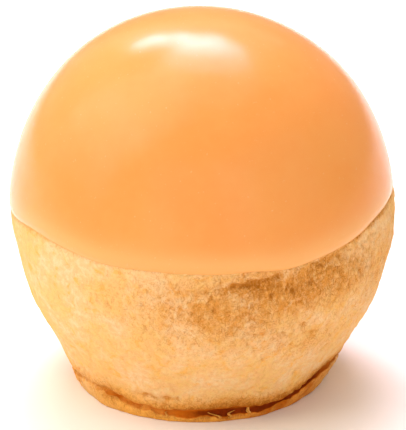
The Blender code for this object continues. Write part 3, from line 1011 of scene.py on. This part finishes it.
def icing_finish():
    """Smooth set caramel icing: opaque, glossy, very slightly clouded, with pinhead bubbles."""
    material, shader, start = new_finish("caramel_icing")
    spot = start.node("TexCoord", output=3)
    clouds = spot.noise(9.0 * MM, 2.0, 0.5)
    fine = spot.noise(1.4 * MM, 3.0, 0.6)
    flecks = spot.noise(0.35 * MM, 1.0, 0.5)
    lip = start.node("Attribute", {"attribute_name": "lip"}, output=2)
    colour = (clouds * 0.7 + fine * 0.3).ramp(0.32, 0.68).blend(ICING_ORANGE, ICING_DEEPER)
    # Paler band at the lip: thinner icing, and painted light from the floor on the bead
    colour = lip.blend(colour, ICING_THIN_AND_LIT)
    colour = (flecks.ramp(0.72, 0.79) * 0.5).blend(colour, ICING_FLECK)
    bump = start.node("Bump", {}, {"Strength": 0.12, "Distance": 0.05 * MM, "Height": fine})
    start.wire(shader, {
        "Base Color": colour,
        "Roughness": 0.185 + fine * 0.05,
        "Normal": bump,
        "IOR": 1.32,
        "Subsurface Weight": 0.1,
        "Subsurface Radius": (1.0, 0.45, 0.18),
        "Subsurface Scale": 1.0 * MM,
    })
    return material


icing_rings = []
around = even_bearings(ICING_COLUMNS // 2)
for row_number in reversed(range(ICING_INNER_ROWS)):
    dome_share = row_number / ICING_INNER_ROWS
    thickness = ICING_EDGE_THICKNESS + (ICING_CROWN_THICKNESS - ICING_EDGE_THICKNESS) * dome_share
    icing_rings.append(thinner(place(around, *crown_ring(around, dome_share, thickness)), dome_share))
around = even_bearings(ICING_COLUMNS)
for lip_turn in reversed(LIP_TURNS):
    icing_rings.append(swell(lip_ring(around, lip_turn)))
for row_number in range(ICING_ROWS):
    dome_share = row_number / ICING_ROWS
    outer_radius, outer_height = crown_ring(around, dome_share, 0.0)
    outer = place(around, outer_radius + icing_proud(around, outer_height), outer_height)
    icing_rings.append(thinner(swell(outer), dome_share))
icing_inner_top = (CROWN_SWAY, 0.0, WIDEST_HEIGHT + CROWN_RISE - ICING_CROWN_THICKNESS)
icing_top = swell(np.array((CROWN_SWAY, 0.0, WIDEST_HEIGHT + CROWN_RISE)))
icing_skin = closed_skin(icing_rings, icing_inner_top, icing_top)
icing = new_body("icing_cap_set", [icing_skin], icing_finish())

# Its lip, at each point: 1 up to the top of the lip's band, and fading above that. The band is paler:
# thinner icing and painted floor light.
across, forward, height = icing_skin[0].T
above_band = np.maximum(height - icing_edge(np.degrees(np.arctan2(across, -forward))) - LIP_BAND, 0.0)
paint(icing, "lip", bell(above_band, LIP_BAND))

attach(icing, "root")
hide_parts("icing_cap")

# Studio
# A plain pale floor in a bright, slightly warm surround. Soft boxes and glows above and behind, a
# little to the left, are the cool window that shines in the icing, and white panels, most of them
# on the left, light the rest.

FLOOR_HALF = 1.5
FLOOR_COLOUR = (0.93, 0.86, 0.76, 1.0)
SURROUND_COLOUR = (1.0, 0.96, 0.90, 1.0)
SURROUND_STRENGTH = 0.37
BUN_MIDDLE = Vector((0.0, 0.0, 24.0 * MM))

corners = [(-FLOOR_HALF, -FLOOR_HALF, 0.0), (FLOOR_HALF, -FLOOR_HALF, 0.0),
           (FLOOR_HALF, FLOOR_HALF, 0.0), (-FLOOR_HALF, FLOOR_HALF, 0.0)]
floor_mesh = bpy.data.meshes.new("pale_floor")
floor_mesh.from_pydata(corners, [], [(0, 1, 2, 3)])
floor = bpy.data.objects.new("pale_floor", floor_mesh)
bpy.context.scene.collection.objects.link(floor)
floor_finish, floor_shader, floor_start = new_finish("pale_floor")
floor_start.wire(floor_shader, {
    "Base Color": FLOOR_COLOUR,
    "Roughness": 0.9,
    "Specular IOR Level": 0.1,
})
floor_mesh.materials.append(floor_finish)

# Lights: shape, colour, direction that each comes from, distance, width, height, radiance
WINDOW = (0.80, 0.73, 1.0)
WHITE = (1.0, 1.0, 1.0)
LIGHTS = (
    ("core_box", "RECTANGLE", WINDOW, (-0.29, 0.675, 0.685), 0.60, 0.10, 0.085, 16.2),
    ("middle_box", "RECTANGLE", WINDOW, (-0.165, 0.65, 0.74), 0.60, 0.11, 0.10, 13.4),
    ("wide_box", "RECTANGLE", WINDOW, (0.0, 0.61, 0.79), 0.60, 0.16, 0.13, 9.3),
    ("near_glow", "ELLIPSE", WINDOW, (0.05, 0.52, 0.85), 0.62, 0.28, 0.18, 6.9),
    ("middle_glow", "ELLIPSE", WINDOW, (0.04, 0.38, 0.92), 0.63, 0.40, 0.30, 4.1),
    ("far_glow", "ELLIPSE", WINDOW, (0.02, 0.14, 0.99), 0.64, 0.60, 0.54, 0.8),
    ("back_high_panel", "RECTANGLE", WHITE, (0.0, 0.7, 0.7), 0.90, 0.80, 0.60, 0.6),
    ("back_left_panel", "RECTANGLE", WHITE, (-0.7, 0.7, 0.45), 0.90, 0.90, 0.70, 0.35),
    ("wide_top_panel", "RECTANGLE", WHITE, (0.0, 0.0, 1.0), 0.90, 1.80, 1.80, 0.15),
    ("left_top_panel", "RECTANGLE", WHITE, (-0.45, -0.1, 0.88), 0.90, 0.80, 0.70, 1.4),
    ("left_high_panel", "RECTANGLE", WHITE, (-0.8, 0.0, 0.8), 0.90, 0.90, 0.70, 0.7),
    ("left_middle_panel", "RECTANGLE", WHITE, (-0.9, -0.1, 0.55), 0.90, 0.80, 0.70, 0.75),
    ("left_panel", "RECTANGLE", WHITE, (-1.0, 0.0, 0.35), 0.90, 0.90, 0.70, 0.45),
    ("left_front_panel", "RECTANGLE", WHITE, (-0.7, -0.7, 0.4), 0.90, 1.10, 0.80, 0.40),
    ("front_panel", "RECTANGLE", WHITE, (0.0, -1.0, 0.3), 0.90, 1.10, 0.80, 0.75),
    ("right_front_panel", "RECTANGLE", WHITE, (0.7, -0.7, 0.4), 0.90, 1.10, 0.80, 0.50),
)
for light_name, form, tint, direction, distance, width, tall, radiance in LIGHTS:
    lamp = bpy.data.lights.new(light_name, "AREA")
    lamp.shape = form
    lamp.color = tint
    lamp.size = width
    lamp.size_y = tall
    lamp.energy = radiance * math.pi * width * tall
    holder = bpy.data.objects.new(light_name, lamp)
    toward = Vector(direction).normalized()
    holder.location = BUN_MIDDLE + distance * toward
    holder.rotation_euler = toward.to_track_quat("Z", "Y").to_euler()
    bpy.context.scene.collection.objects.link(holder)

surround = bpy.data.worlds.new("white_surround")
surround.use_nodes = True
background = surround.node_tree.nodes["Background"]
background.inputs["Color"].default_value = SURROUND_COLOUR
background.inputs["Strength"].default_value = SURROUND_STRENGTH
bpy.context.scene.world = surround
bpy.context.scene.view_settings.view_transform = "Standard"

# Camera: it looks down at the bun, which fills the frame, through a long lens. What it aims at
# puts the bun at the photo's place in the frame.
CAMERA_ELEVATION = math.radians(21.0)
CAMERA_DISTANCE = 400.0 * MM
CAMERA_AIM = Vector((0.13 * MM, 0.0, 20.9 * MM))
LONG_SIDE_PIXELS = 430.0
FOCAL_PIXELS = 3186.5
SENSOR = 36.0

lens = bpy.data.cameras.new("camera")
lens.sensor_width = SENSOR
lens.lens = FOCAL_PIXELS * SENSOR / LONG_SIDE_PIXELS
lens.clip_start = 10.0 * MM
camera = bpy.data.objects.new("camera", lens)
towards_camera = Vector((0.0, -math.cos(CAMERA_ELEVATION), math.sin(CAMERA_ELEVATION)))
camera.location = BUN_MIDDLE + CAMERA_DISTANCE * towards_camera
camera.rotation_euler = (camera.location - CAMERA_AIM).to_track_quat("Z", "Y").to_euler()
bpy.context.scene.collection.objects.link(camera)
bpy.context.scene.camera = camera
